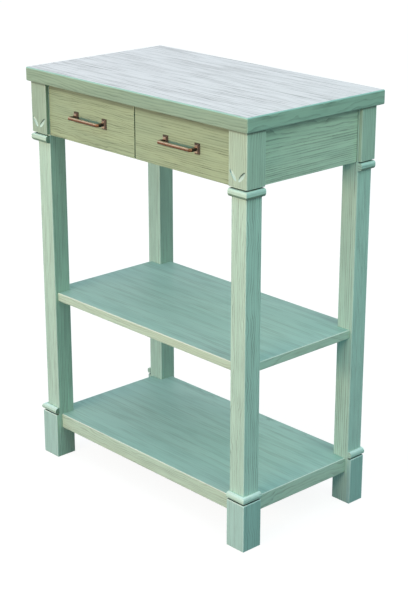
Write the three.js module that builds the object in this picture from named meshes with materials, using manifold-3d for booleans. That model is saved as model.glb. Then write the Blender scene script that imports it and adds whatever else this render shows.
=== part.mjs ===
// Waiter service station: a tall side table with two drawers under its top and two shelves.
// Millimetres, +Z up, drawers facing -Y, feet on Z = 0, centred on its overall box in X and Y.
import * as THREE from 'three';
import { mergeVertices } from 'three/addons/utils/BufferGeometryUtils.js';
import Module from 'manifold-3d';

const wasm = await Module();
wasm.setup();

// Overall sizes and the top
const stationHeight = 940;
const topWidth = 708;
const topDepth = 400;
const topThickness = 31;
const topOverhang = 16.5;
const topEdgeRadius = 3;

// Legs: square posts with planted blocks and beads on their outer faces
const postSize = 43;
const blockProjection = 9;
const beadProjection = 11;
const beadFullRound = 8;
const beadSlightRound = 5.5;
const collarHeight = 17.5;
const footBeadHeight = 14.5;
const footHeight = 109;
const blockEase = 2;
const grooveWidth = 3;

// Carved chevron on the two front head blocks
const petalLength = 29;
const petalWidth = 7.5;
const petalDepth = 2.6;
const petalTilt = THREE.MathUtils.degToRad(40);
const petalSpread = 24.6;
const chevronHeight = 25;

// Aprons and front rails
const apronHeight = 117;
const apronThickness = 20;
const apronSetback = 3;
const apronTenonLength = 16;
const apronTenonThickness = 9;
const apronTenonShoulder = 14;
const railThickness = 16;
const railDepth = 40;
const railTenonLength = 14;
const railTenonShoulder = 4;

// Shelves, notched round the posts and held by corner tongues in stopped housings
const shelfInset = 8;
const shelfEdgeRadius = 1.6;
const shelfTongueLength = 5;
const shelfTongueShoulder = 4;
const shelfTongueStop = 10;
const middleShelfTop = 415.5;
const middleShelfThickness = 20;
const lowerShelfTop = 108.5;
const lowerShelfThickness = 35;

// Drawers
const frontThickness = 19;
const frontSetback = 0.5;
const frontSideGap = 1.5;
const frontCentreGap = 3.2;
const frontTopGap = 2;
const frontRailGap = 1;
const frontEdgeRadius = 1;
const sideThickness = 14;
const sideHousing = 5;
const backThickness = 12;
const backInset = 4;
const backDrop = 6;
const backHousing = 3.5;
const bottomThickness = 5;
const bottomRise = 8;
const bottomGroove = 5;
const drawerPostGap = 2;
const drawerRailGap = 4;
const drawerRearGap = 8;

// Runners and the partition between the drawers
const partitionThickness = 18;
const partitionHousing = 5;
const partitionDrawerGap = 6;
const runnerHeight = 12;
const runnerEngagement = 5;
const runnerBaseHeight = 28;
const runnerPlay = 0.4;

// Drawer stops, which catch the upper front rail
const stopWidth = 40;
const stopThickness = 8;
const stopCatch = 9;
const stopLap = 34;

// Top buttons, which hold the top down on the side aprons
const buttonWidth = 34;
const buttonHeight = 18;
const buttonTongueHeight = 8;
const buttonTongueLength = 8;
const buttonSpacing = 170;
const buttonSlotPlay = 2;

// Bar pulls
const pullSpacing = 96;
const pullReach = 25;
const pullBarHeight = 6.8;
const pullBarDepth = 7;
const pullBarChamfer = 1.4;
const pullEndChamfer = 5.5;
const pullNeckSize = 8;
const pullPlateWidth = 15;
const pullPlateHeight = 23;
const pullPlateThickness = 5;
const pullPlateBevel = 3.4;
const screwDiameter = 4;
const screwEngagement = 9;
const screwHeadDiameter = 8;
const screwHeadHeight = 2.6;

// Clearances
const glueGap = 0.25;
const fitGap = 0.3;

// Facets
const roundSegments = 3;
const petalSegments = 12;
const boreSegments = 14;

// Levels and faces that the pieces share
const topUnderside = stationHeight - topThickness;
const frameTop = topUnderside - glueGap;
const apronBottom = topUnderside - apronHeight;
const postOuterX = topWidth / 2 - topOverhang;
const postOuterY = topDepth / 2 - topOverhang;
const postInnerX = postOuterX - postSize;
const postInnerY = postOuterY - postSize;
const headBottom = apronBottom + grooveWidth / 2;
const collarTop = headBottom - grooveWidth;
const footBeadBottom = footHeight + grooveWidth;
const apronInnerX = postOuterX - apronSetback - apronThickness;
const apronInnerY = postOuterY - apronSetback - apronThickness;
const frontFaceY = -postOuterY + frontSetback;
const frontBackY = frontFaceY + frontThickness;
const railFrontY = frontBackY + frontRailGap;
const railBackY = railFrontY + railDepth;
const upperRailBottom = frameTop - railThickness;
const lowerRailTop = apronBottom + railThickness;
const drawerBottomZ = lowerRailTop + drawerRailGap;
const drawerTopZ = upperRailBottom - drawerRailGap;
const drawerOuterX = postInnerX - drawerPostGap;
const drawerInnerX = partitionThickness / 2 + partitionDrawerGap;
const drawerRearY = apronInnerY - drawerRearGap;
const runnerMiddleZ = (drawerBottomZ + drawerTopZ) / 2;
const pullFaceY = frontFaceY - pullReach;
const plateFaceY = frontFaceY - pullPlateThickness;

// Spans, each a low and a high end, that pieces and their seats share
const centred = (middle, width) => [middle - width / 2, middle + width / 2];
const grown = ([low, high], gap) => [low - gap, high + gap];
const ordered = (a, b) => [Math.min(a, b), Math.max(a, b)];
const betweenPostsX = [-postInnerX, postInnerX];
const betweenPostsY = [-postInnerY, postInnerY];
const apronSpanX = [apronInnerX, apronInnerX + apronThickness];
const apronSpanY = [apronInnerY, apronInnerY + apronThickness];
const apronSpanZ = [apronBottom, frameTop];
const apronTenonSpanZ = grown(apronSpanZ, -apronTenonShoulder);
const sideTenonSpanX = centred(apronInnerX + apronThickness / 2, apronTenonThickness);
const backTenonSpanY = centred(apronInnerY + apronThickness / 2, apronTenonThickness);
const railTenonSpanY = grown([railFrontY, -postInnerY], -railTenonShoulder);
const railSpansZ = { upper: [upperRailBottom, frameTop], lower: [apronBottom, lowerRailTop] };
const railTenonSpanZ = (place) => grown(railSpansZ[place], -railTenonShoulder);
const partitionSpanX = centred(0, partitionThickness);
const partitionSpanZ = grown([lowerRailTop, upperRailBottom], -glueGap);
const runnerSpanY = grown(betweenPostsY, -fitGap);
const runnerSpanZ = centred(runnerMiddleZ, runnerHeight);
const buttonSpanZ = [frameTop - buttonHeight, frameTop];
const tongueSpanZ = [buttonSpanZ[0], buttonSpanZ[0] + buttonTongueHeight];
const buttonSpansY = {
  front: centred(-buttonSpacing / 2, buttonWidth),
  back: centred(buttonSpacing / 2, buttonWidth),
};
const frontSpanX = [frontCentreGap / 2, postInnerX - frontSideGap];
const frontSpanZ = [apronBottom, topUnderside - frontTopGap];
const sideSpansX = {
  outer: [drawerOuterX - sideThickness, drawerOuterX],
  inner: [drawerInnerX, drawerInnerX + sideThickness],
};
const sideSpanY = [frontBackY - sideHousing + fitGap, drawerRearY];
const sideSpanZ = [drawerBottomZ, drawerTopZ];
const boxInsideX = [sideSpansX.inner[1], sideSpansX.outer[0]];
const bottomSpanZ = [drawerBottomZ + bottomRise, drawerBottomZ + bottomRise + bottomThickness];
const backSpanY = [drawerRearY - backInset - backThickness, drawerRearY - backInset];
const pullCentreX = (frontSpanX[0] + frontSpanX[1]) / 2;
const pullCentreZ = (frontSpanZ[0] + frontSpanZ[1]) / 2;
const pullNecksX = { outer: pullCentreX + pullSpacing / 2, inner: pullCentreX - pullSpacing / 2 };
const screwBore = screwDiameter + 2 * fitGap;
const screwTipY = plateFaceY - glueGap - screwEngagement;

const shelves = [
  { name: 'shelf_middle', spanZ: [middleShelfTop - middleShelfThickness, middleShelfTop] },
  { name: 'shelf_lower', spanZ: [lowerShelfTop - lowerShelfThickness, lowerShelfTop] },
];
const shelfHalfWidth = postOuterX - shelfInset;
const shelfHalfDepth = postOuterY - shelfInset;
const shelfTongueSpanZ = (spanZ) => grown(spanZ, -shelfTongueShoulder);

// Directions
const RIGHT = new THREE.Vector3(1, 0, 0);
const FORWARD = new THREE.Vector3(0, -1, 0);
const BACKWARD = new THREE.Vector3(0, 1, 0);
const UP = new THREE.Vector3(0, 0, 1);
const point = (x, y, z) => new THREE.Vector3(x, y, z);

// Finishes
const finish = (color, roughness, metalness = 0) => () =>
  new THREE.MeshStandardMaterial({ color, roughness, metalness });
const paleTop = finish(0xd6dce0, 0.35);
const greenStain = finish(0x9cbfae, 0.5);
const drawerFaceStain = finish(0xaab493, 0.55);
const bareWood = finish(0xd2bf98, 0.6);
const plywood = finish(0xc9ab7c, 0.65);
const agedCopper = finish(0x6f4a38, 0.4, 0.9);
const zincSteel = finish(0xb4b6b8, 0.35, 0.9);

const station = new THREE.Group();

// Solids and booleans

function box([x0, x1], [y0, y1], [z0, z1]) {
  const geometry = new THREE.BoxGeometry(x1 - x0, y1 - y0, z1 - z0);
  return geometry.translate((x0 + x1) / 2, (y0 + y1) / 2, (z0 + z1) / 2);
}

function solidOf(geometry) {
  const bare = geometry.clone();
  bare.deleteAttribute('normal');
  bare.deleteAttribute('uv');
  const merged = mergeVertices(bare);
  return new wasm.Manifold(new wasm.Mesh({
    numProp: 3,
    vertProperties: new Float32Array(merged.getAttribute('position').array),
    triVerts: new Uint32Array(merged.getIndex().array),
  }));
}

function geometryOf(solid) {
  const { vertProperties, triVerts } = solid.getMesh();
  const geometry = new THREE.BufferGeometry();
  geometry.setAttribute('position', new THREE.BufferAttribute(new Float32Array(vertProperties), 3));
  geometry.setIndex(new THREE.BufferAttribute(new Uint32Array(triVerts), 1));
  geometry.computeVertexNormals();
  return geometry;
}

function join(...geometries) {
  return geometryOf(geometries.map(solidOf).reduce((whole, piece) => whole.add(piece)));
}

function common(a, b) {
  return geometryOf(solidOf(a).intersect(solidOf(b)));
}

function cut(geometry, cutters) {
  return geometryOf(cutters.map(solidOf).reduce((left, cutter) => left.subtract(cutter), solidOf(geometry)));
}

function polygon(points) {
  return new THREE.Shape(points.map(([x, y]) => new THREE.Vector2(x, y)));
}

function rectangle([x0, x1], [y0, y1]) {
  return polygon([[x0, y0], [x1, y0], [x1, y1], [x0, y1]]);
}

// Extrudes an outline drawn along `across` and `up` from `origin`, in the direction across x up.
function extrude(outline, length, across, up, origin, rounding = { bevelEnabled: false }) {
  const along = new THREE.Vector3().crossVectors(across, up);
  const settings = { depth: length, curveSegments: roundSegments, ...rounding };
  const place = new THREE.Matrix4().makeBasis(across, up, along).setPosition(origin);
  return new THREE.ExtrudeGeometry(outline, settings).applyMatrix4(place);
}

// An extrusion of a given whole thickness whose outer arrises are rounded, or chamfered with one segment.
function easedBoard(outline, thickness, radius, across, up, origin, segments = roundSegments) {
  const along = new THREE.Vector3().crossVectors(across, up);
  const start = origin.clone().addScaledVector(along, radius);
  const rounding = {
    bevelEnabled: true,
    bevelThickness: radius,
    bevelSize: radius,
    bevelOffset: -radius,
    bevelSegments: segments,
  };
  return extrude(outline, thickness - 2 * radius, across, up, start, rounding);
}

function boreAlongY(x, z, diameter, [y0, y1]) {
  const bore = new THREE.CylinderGeometry(diameter / 2, diameter / 2, y1 - y0, boreSegments);
  return bore.translate(x, (y0 + y1) / 2, z);
}

function mirrored(geometry) {
  const copy = mergeVertices(geometry.clone());
  copy.scale(-1, 1, 1);
  const index = copy.getIndex();
  for (let i = 0; i < index.count; i += 3) {
    const second = index.getX(i + 1);
    index.setX(i + 1, index.getX(i + 2));
    index.setX(i + 2, second);
  }
  copy.computeVertexNormals();
  return copy;
}

function add(name, geometry, material) {
  const mesh = new THREE.Mesh(geometry, material());
  mesh.name = name;
  station.add(mesh);
}

// Adds a piece made for the right-hand side, and its mirror image on the left.
function addPair(name, geometry, material) {
  add(`${name}_right`, geometry, material);
  add(`${name}_left`, mirrored(geometry), material);
}

// Top and shelves

function addTop() {
  const outline = rectangle(centred(0, topWidth), centred(0, topDepth));
  const origin = point(0, 0, topUnderside);
  add('top_panel', easedBoard(outline, topThickness, topEdgeRadius, RIGHT, BACKWARD, origin), paleTop);
}

// A shelf's plan less an edge margin: a rectangle with its corners notched `depth` into the posts.
function shelfOutline(margin, depth) {
  const [halfWidth, halfDepth] = [shelfHalfWidth - margin, shelfHalfDepth - margin];
  const [notchX, notchY] = [postInnerX + depth, postInnerY + depth];
  const steps = [[halfWidth, notchY], [notchX, notchY], [notchX, halfDepth]];
  const quarters = [[1, 1], [-1, 1], [-1, -1], [1, -1]];
  return polygon(quarters.flatMap(([sx, sy]) => {
    const corner = steps.map(([x, y]) => [sx * x, sy * y]);
    return sx * sy > 0 ? corner : corner.reverse();
  }));
}

// A shelf: an eased board cut square round the posts, and a thinner core that runs on into them as tongues.
function addShelves() {
  for (const { name, spanZ } of shelves) {
    const [z0, z1] = spanZ;
    const plan = rectangle([-shelfHalfWidth, shelfHalfWidth], [-shelfHalfDepth, shelfHalfDepth]);
    const blank = easedBoard(plan, z1 - z0, shelfEdgeRadius, RIGHT, BACKWARD, point(0, 0, z0));
    const notched = extrude(shelfOutline(0, -glueGap), z1 - z0, RIGHT, BACKWARD, point(0, 0, z0));
    const [core0, core1] = shelfTongueSpanZ(spanZ);
    const corePlan = shelfOutline(shelfTongueStop, shelfTongueLength - fitGap);
    const core = extrude(corePlan, core1 - core0, RIGHT, BACKWARD, point(0, 0, core0));
    add(name, join(common(blank, notched), core), greenStain);
  }
}

// Legs. `side` is -1 for a front leg and 1 for a back one.

function shelfHousings(side) {
  const stopX = shelfHalfWidth - shelfTongueStop + fitGap;
  const stopY = shelfHalfDepth - shelfTongueStop + fitGap;
  const depthX = [postInnerX - fitGap, postInnerX + shelfTongueLength];
  const depthY = ordered(side * (postInnerY - fitGap), side * (postInnerY + shelfTongueLength));
  const lengthX = [postInnerX - fitGap, stopX];
  const lengthY = ordered(side * (postInnerY - fitGap), side * stopY);
  return shelves.flatMap(({ spanZ }) => {
    const tongue = grown(shelfTongueSpanZ(spanZ), fitGap);
    return [box(depthX, lengthY, tongue), box(lengthX, depthY, tongue)];
  });
}

function mortises(side) {
  const apronLevel = grown(apronTenonSpanZ, fitGap);
  const sideDepth = ordered(side * (postInnerY - fitGap), side * (postInnerY + apronTenonLength + fitGap));
  const sideMortise = box(grown(sideTenonSpanX, fitGap), sideDepth, apronLevel);
  if (side > 0) {
    const backDepth = grown([postInnerX, postInnerX + apronTenonLength], fitGap);
    return [sideMortise, box(backDepth, grown(backTenonSpanY, fitGap), apronLevel)];
  }
  const tenonReach = grown([postInnerX, postInnerX + railTenonLength], fitGap);
  const railMortises = Object.keys(railSpansZ).map((place) =>
    box(tenonReach, grown(railTenonSpanY, fitGap), grown(railTenonSpanZ(place), fitGap)));
  return [sideMortise, ...railMortises];
}

function post(side) {
  const blank = box([postInnerX, postOuterX], ordered(side * postInnerY, side * postOuterY), [0, frameTop]);
  return cut(blank, [...shelfHousings(side), ...mortises(side)]);
}

// Section of a planted moulding: how far it stands out from the post's face against height.
function mouldingSection([z0, z1], projection, lowerRound, upperRound) {
  const section = new THREE.Shape();
  section.moveTo(-postSize, z0);
  section.lineTo(projection - lowerRound, z0);
  section.absarc(projection - lowerRound, z0 + lowerRound, lowerRound, -Math.PI / 2, 0);
  section.absarc(projection - upperRound, z1 - upperRound, upperRound, 0, Math.PI / 2);
  section.lineTo(-postSize, z1);
  return section;
}

// A moulding on a leg: mitred round the outer corner of a front leg, on the side only of a back leg.
function planted(side, section) {
  const postSpaceX = [postInnerX - fitGap, postOuterX + glueGap];
  const postSpaceY = ordered(side * (postInnerY - fitGap), side * (postOuterY + glueGap));
  const postSpace = box(postSpaceX, postSpaceY, grown([0, stationHeight], fitGap));
  if (side > 0) {
    return cut(extrude(section, postSize, RIGHT, UP, point(postOuterX, postOuterY, 0)), [postSpace]);
  }
  const reach = postSize + 2 * beadProjection;
  const sideStrip = extrude(section, reach, RIGHT, UP, point(postOuterX, -postInnerY, 0));
  const frontStrip = extrude(section, reach, FORWARD, UP, point(postInnerX + reach, -postOuterY, 0));
  return cut(common(sideStrip, frontStrip), [postSpace]);
}

// Two gouge cuts leaning together into a V, on the front face of a head block.
function chevronCutters() {
  const middleX = (postInnerX + postOuterX + blockProjection) / 2;
  const faceY = -postOuterY - blockProjection;
  return [-1, 1].map((lean) => {
    const petal = new THREE.SphereGeometry(1, petalSegments, petalSegments);
    petal.scale(petalWidth / 2, petalDepth, petalLength / 2);
    petal.rotateY(lean * petalTilt);
    return petal.translate(middleX + lean * petalSpread / 2, faceY, headBottom + chevronHeight);
  });
}

function addLeg(place, side) {
  const headSection = mouldingSection([headBottom, frameTop], blockProjection, blockEase, blockEase);
  const collarSpanZ = [collarTop - collarHeight, collarTop];
  const collarSection = mouldingSection(collarSpanZ, beadProjection, beadFullRound, beadSlightRound);
  const beadSpanZ = [footBeadBottom, footBeadBottom + footBeadHeight];
  const beadSection = mouldingSection(beadSpanZ, beadProjection, beadSlightRound, beadFullRound);
  const footSection = mouldingSection([0, footHeight], blockProjection, blockEase, blockEase);
  const head = planted(side, headSection);
  addPair(`post_${place}`, post(side), greenStain);
  addPair(`head_block_${place}`, side < 0 ? cut(head, chevronCutters()) : head, greenStain);
  addPair(`collar_${place}`, planted(side, collarSection), greenStain);
  addPair(`foot_bead_${place}`, planted(side, beadSection), greenStain);
  addPair(`foot_block_${place}`, planted(side, footSection), greenStain);
}

// Aprons, front rails and top buttons

function addAprons() {
  const sideBoard = box(apronSpanX, grown(betweenPostsY, -glueGap), apronSpanZ);
  const sideTenons = box(sideTenonSpanX, grown(betweenPostsY, apronTenonLength), apronTenonSpanZ);
  const slotDepth = grown([apronInnerX, apronInnerX + buttonTongueLength], fitGap);
  const slots = Object.values(buttonSpansY).map((spanY) =>
    box(slotDepth, grown(spanY, buttonSlotPlay), grown(tongueSpanZ, fitGap)));
  addPair('apron', cut(join(sideBoard, sideTenons), slots), greenStain);

  const backBoard = box(grown(betweenPostsX, -glueGap), apronSpanY, apronSpanZ);
  const backTenons = box(grown(betweenPostsX, apronTenonLength), backTenonSpanY, apronTenonSpanZ);
  const housingDepth = grown([apronInnerY, apronInnerY + partitionHousing], fitGap);
  const housing = box(grown(partitionSpanX, fitGap), housingDepth, grown(partitionSpanZ, fitGap));
  add('apron_back', cut(join(backBoard, backTenons), [housing]), greenStain);
}

function addFrontRails() {
  for (const [place, spanZ] of Object.entries(railSpansZ)) {
    const rail = box(grown(betweenPostsX, -glueGap), [railFrontY, railBackY], spanZ);
    const tenons = box(grown(betweenPostsX, railTenonLength), railTenonSpanY, railTenonSpanZ(place));
    add(`front_rail_${place}`, join(rail, tenons), greenStain);
  }
}

function addTopButtons() {
  for (const [place, spanY] of Object.entries(buttonSpansY)) {
    const body = box([postInnerX, apronInnerX - glueGap], spanY, buttonSpanZ);
    const tongue = box([postInnerX, apronInnerX + buttonTongueLength], spanY, tongueSpanZ);
    addPair(`top_button_${place}`, join(body, tongue), bareWood);
  }
}

// Partition and runners, which carry the drawers by grooves in their sides

function addPartitionAndRunners() {
  const partitionSpanY = [railFrontY, apronInnerY + partitionHousing];
  add('drawer_partition', box(partitionSpanX, partitionSpanY, partitionSpanZ), bareWood);

  const baseRearX = apronInnerX - glueGap;
  const base = box([postInnerX, baseRearX], runnerSpanY, centred(runnerMiddleZ, runnerBaseHeight));
  const tongue = box([drawerOuterX - runnerEngagement, baseRearX], runnerSpanY, runnerSpanZ);
  addPair('runner_outer', join(base, tongue), bareWood);
  const innerSpanX = [partitionSpanX[1] + glueGap, drawerInnerX + runnerEngagement];
  addPair('runner_inner', box(innerSpanX, runnerSpanY, runnerSpanZ), bareWood);
}

// Drawers, made for the right-hand side and mirrored to the left

function drawerFront() {
  const outline = rectangle(frontSpanX, frontSpanZ);
  const origin = point(0, frontBackY, 0);
  const board = easedBoard(outline, frontThickness, frontEdgeRadius, RIGHT, UP, origin);
  const housingY = [frontBackY - sideHousing, frontBackY + fitGap];
  const housings = Object.values(sideSpansX).map((spanX) =>
    box(grown(spanX, fitGap), housingY, grown(sideSpanZ, fitGap)));
  const grooveY = grown([frontBackY - bottomGroove, frontBackY], fitGap);
  const groove = box(boxInsideX, grooveY, grown(bottomSpanZ, fitGap));
  const boreSpanY = grown([frontFaceY, frontBackY], fitGap);
  const bores = Object.values(pullNecksX).map((x) => boreAlongY(x, pullCentreZ, screwBore, boreSpanY));
  return cut(board, [...housings, groove, ...bores]);
}

// A side is grooved outside for its runner, and inside for the drawer's bottom and back.
function drawerSide(place) {
  const outward = place === 'outer' ? 1 : -1;
  const [low, high] = sideSpansX[place];
  const outerFace = outward > 0 ? high : low;
  const innerFace = outward > 0 ? low : high;
  const fromOutside = (depth) => ordered(outerFace + outward * fitGap, outerFace - outward * depth);
  const fromInside = (depth) => ordered(innerFace - outward * fitGap, innerFace + outward * depth);
  const runnerLength = [runnerSpanY[0] - runnerPlay, drawerRearY + fitGap];
  const runnerDepth = fromOutside(runnerEngagement + runnerPlay);
  return cut(box(sideSpansX[place], sideSpanY, sideSpanZ), [
    box(runnerDepth, runnerLength, grown(runnerSpanZ, runnerPlay)),
    box(fromInside(bottomGroove + fitGap), grown(sideSpanY, fitGap), grown(bottomSpanZ, fitGap)),
    box(fromInside(backHousing + fitGap), grown(backSpanY, fitGap), [bottomSpanZ[0], drawerTopZ + fitGap]),
  ]);
}

function drawerStop() {
  const face = backSpanY[0] - glueGap;
  const backTop = drawerTopZ - backDrop;
  const spanZ = [backTop - stopLap, upperRailBottom + stopCatch];
  return box(centred(pullCentreX, stopWidth), [face - stopThickness, face], spanZ);
}

function addDrawers() {
  addPair('drawer_front', drawerFront(), drawerFaceStain);
  for (const place of Object.keys(sideSpansX)) {
    addPair(`drawer_side_${place}`, drawerSide(place), bareWood);
  }
  const backSpanZ = [bottomSpanZ[1] + fitGap, drawerTopZ - backDrop];
  addPair('drawer_back', box(grown(boxInsideX, backHousing), backSpanY, backSpanZ), bareWood);
  const bottomSpanY = [frontBackY - bottomGroove, backSpanY[1]];
  addPair('drawer_bottom', box(grown(boxInsideX, bottomGroove), bottomSpanY, bottomSpanZ), plywood);
  addPair('drawer_stop', drawerStop(), bareWood);
}

// Bar pulls: a cast handle on two bevelled plates, each held by a screw from inside the drawer

function pullPlate(x) {
  const outline = rectangle(centred(x, pullPlateWidth), centred(pullCentreZ, pullPlateHeight));
  const origin = point(0, frontFaceY + pullPlateThickness, 0);
  const blank = easedBoard(outline, 2 * pullPlateThickness, pullPlateBevel, RIGHT, UP, origin, 1);
  const rearSpanY = [frontFaceY - glueGap, origin.y + fitGap];
  const rear = box(centred(x, 2 * pullPlateWidth), rearSpanY, centred(pullCentreZ, 2 * pullPlateHeight));
  const bore = boreAlongY(x, pullCentreZ, screwBore, grown([plateFaceY, frontFaceY], fitGap));
  return cut(blank, [rear, bore]);
}

// The bar's plan, with its two front corners cut off as on a bent rod.
function pullBarPlan([x0, x1], rearY) {
  const corner = pullFaceY + pullEndChamfer;
  return polygon([
    [x0, rearY],
    [x0, corner],
    [x0 + pullEndChamfer, pullFaceY],
    [x1 - pullEndChamfer, pullFaceY],
    [x1, corner],
    [x1, rearY],
  ]);
}

function pullHandle() {
  const barRearY = pullFaceY + pullBarDepth;
  const [barSpanX, barSpanZ] = [
    centred(pullCentreX, pullSpacing + pullNeckSize),
    centred(pullCentreZ, pullBarHeight),
  ];
  const section = rectangle(barSpanX, barSpanZ);
  const squareBar = easedBoard(section, pullBarDepth, pullBarChamfer, RIGHT, UP, point(0, barRearY, 0), 1);
  const plan = pullBarPlan(barSpanX, barRearY);
  const ends = extrude(plan, pullBarHeight, RIGHT, BACKWARD, point(0, 0, barSpanZ[0]));
  const bar = common(squareBar, ends);
  const neckSpanY = [barRearY - pullBarChamfer, plateFaceY - glueGap];
  const [neckWidth, neckHeight] = [pullNeckSize - 2 * glueGap, pullBarHeight - 2 * glueGap];
  const necks = Object.values(pullNecksX).map((x) =>
    box(centred(x, neckWidth), neckSpanY, centred(pullCentreZ, neckHeight)));
  const boreSpanY = [screwTipY - fitGap, frontFaceY];
  const bores = Object.values(pullNecksX).map((x) => boreAlongY(x, pullCentreZ, screwBore, boreSpanY));
  return cut(join(bar, ...necks), bores);
}

function pullScrew(x) {
  const headSeat = frontBackY + glueGap;
  const radius = screwDiameter / 2;
  const headRadius = screwHeadDiameter / 2;
  const profile = [
    [0, screwTipY],
    [radius, screwTipY],
    [radius, headSeat],
    [headRadius, headSeat],
    [headRadius, headSeat + screwHeadHeight / 2],
    [radius, headSeat + screwHeadHeight],
    [0, headSeat + screwHeadHeight],
  ];
  const screw = new THREE.LatheGeometry(profile.map(([r, y]) => new THREE.Vector2(r, y)), boreSegments);
  return screw.translate(x, 0, pullCentreZ);
}

function addPulls() {
  addPair('pull_handle', pullHandle(), agedCopper);
  for (const [place, x] of Object.entries(pullNecksX)) {
    addPair(`pull_plate_${place}`, pullPlate(x), agedCopper);
    addPair(`pull_screw_${place}`, pullScrew(x), zincSteel);
  }
}

addTop();
addShelves();
addLeg('front', -1);
addLeg('back', 1);
addAprons();
addFrontRails();
addTopButtons();
addPartitionAndRunners();
addDrawers();
addPulls();

// The pulls reach past the top's front edge, so the whole is moved back to centre its box.
station.position.y = -(Math.min(pullFaceY, -topDepth / 2) + topDepth / 2) / 2;

export default station;
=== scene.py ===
"""Dresses the waiter service station: stained wood, bare drawer boxes and copper pulls."""

import logging
import math
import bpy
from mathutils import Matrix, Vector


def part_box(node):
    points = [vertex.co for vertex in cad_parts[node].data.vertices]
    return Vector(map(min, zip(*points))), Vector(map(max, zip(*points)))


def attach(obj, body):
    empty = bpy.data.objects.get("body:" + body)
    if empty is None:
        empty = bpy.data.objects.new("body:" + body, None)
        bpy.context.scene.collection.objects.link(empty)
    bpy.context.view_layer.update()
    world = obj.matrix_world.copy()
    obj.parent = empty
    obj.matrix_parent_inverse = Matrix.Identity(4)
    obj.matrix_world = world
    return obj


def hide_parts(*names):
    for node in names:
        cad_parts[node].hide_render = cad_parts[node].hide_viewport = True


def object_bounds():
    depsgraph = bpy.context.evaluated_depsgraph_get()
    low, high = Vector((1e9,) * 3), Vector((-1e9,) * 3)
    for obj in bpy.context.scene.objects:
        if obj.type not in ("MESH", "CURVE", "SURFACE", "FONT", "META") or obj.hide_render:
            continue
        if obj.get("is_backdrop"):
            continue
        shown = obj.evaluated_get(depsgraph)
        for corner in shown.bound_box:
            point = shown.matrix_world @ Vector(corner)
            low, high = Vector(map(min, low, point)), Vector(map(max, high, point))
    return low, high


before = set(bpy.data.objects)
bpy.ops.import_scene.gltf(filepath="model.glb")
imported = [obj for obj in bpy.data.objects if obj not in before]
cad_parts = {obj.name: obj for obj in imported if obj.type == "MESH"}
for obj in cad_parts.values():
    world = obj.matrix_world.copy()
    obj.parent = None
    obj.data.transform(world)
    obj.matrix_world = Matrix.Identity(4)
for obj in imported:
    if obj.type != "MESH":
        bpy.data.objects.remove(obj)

import zlib
from collections.abc import Callable, Iterator, Mapping, Sequence
from dataclasses import dataclass, field, replace
from enum import Enum
from functools import cached_property
from typing import Any

import bmesh
import bpy
from mathutils import Matrix, Vector

CAD_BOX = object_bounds()
LOG = logging.getLogger("station")

Colour = tuple[float, float, float]
Place = tuple[float, float, float]
Plan = Sequence[tuple[float, float]]
Face = bmesh.types.BMFace
Edge = bmesh.types.BMEdge
EdgeTest = Callable[[Edge], bool]
SkinPick = Callable[[Face], int]
MarkRule = Callable[[Face, float], float]
Piece = bpy.types.Object
Pieces = Iterator[Piece]

ARRIS = "arris"
STAVE = "stave"
MERGE_DISTANCE = 1e-6
FLAT_ANGLE = math.radians(1.0)
FLAT = math.cos(FLAT_ANGLE)
SMOOTH_ANGLE = math.radians(38.0)
SQUARE_LOW = math.radians(70.0)
SQUARE_HIGH = math.radians(110.0)
ARRIS_SEGMENTS = 2
X, Y, Z = range(3)
PLACES = ("outer", "inner")


class Word(Enum):
    """Options whose names are also parts of names in the scene."""

    @property
    def word(self) -> str:
        """The option's name as the nodes and materials spell it."""
        return self.name.lower()


class Side(Word):
    """The right or left half of the station, as the sign of X."""

    RIGHT = 1
    LEFT = -1


class Row(Word):
    """The front or back pair of legs, as the sign of Y."""

    FRONT = -1
    BACK = 1


class Grain(Word):
    """How a board was cut: the axes along its fibres, across its width and through it."""

    LEVEL = (0, 1, 2)
    FRONT = (0, 2, 1)
    SIDE = (1, 2, 0)
    UPRIGHT = (2, 0, 1)
    DEPTH = (1, 0, 2)


class Slot(Enum):
    """The record's material slots."""

    GREEN = "green_stain"
    DRAWER = "drawer_stain"
    TOP = "top_wash"
    BARE = "bare_wood"
    PLY = "plywood"
    COPPER = "aged_copper"
    ZINC = "zinc_steel"


def on_left(operation: str) -> Callable[["Signal", "Value"], "Signal"]:
    """An operator with the signal on its left."""
    return lambda signal, other: signal.maths(operation, other)


def on_right(operation: str) -> Callable[["Signal", float], "Signal"]:
    """An operator with a plain number on its left and the signal on its right."""
    return lambda signal, other: signal.graph.node(
        "ShaderNodeMath", {"operation": operation}, {0: other, 1: signal}
    )


class Signal:
    """A shader socket that takes part in Python arithmetic."""

    def __init__(self, graph: "Graph", socket: bpy.types.NodeSocket) -> None:
        """Wraps one output socket of a graph."""
        self.graph = graph
        self.socket = socket

    def maths(self, operation: str, *others: "Value", clamp: bool = False) -> "Signal":
        """Adds a Math node whose first input is this signal, and hands back its result."""
        settings = {"operation": operation, "use_clamp": clamp}
        return self.graph.node("ShaderNodeMath", settings, dict(enumerate((self, *others))))

    def at(self, output: str) -> "Signal":
        """Another output of the node that this signal comes from."""
        return Signal(self.graph, self.socket.node.outputs[output])

    __add__, __radd__ = on_left("ADD"), on_right("ADD")
    __sub__, __rsub__ = on_left("SUBTRACT"), on_right("SUBTRACT")
    __mul__, __rmul__ = on_left("MULTIPLY"), on_right("MULTIPLY")
    __truediv__, __rtruediv__ = on_left("DIVIDE"), on_right("DIVIDE")
    __pow__, __rpow__ = on_left("POWER"), on_right("POWER")

    def clamped(self) -> "Signal":
        """This signal kept between 0 and 1."""
        return self.maths("ADD", 0.0, clamp=True)

    def rise(self, low: float, high: float) -> "Signal":
        """A smooth step from 0 at low to 1 at high, which falls where low is the larger."""
        sockets = {"Value": self, "From Min": low, "From Max": high}
        return self.graph.node("ShaderNodeMapRange", {"interpolation_type": "SMOOTHSTEP"}, sockets)


Value = Signal | float | Sequence[float]
Settings = Mapping[str, Any] | None
Sockets = Mapping[str | int, Value] | None


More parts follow.
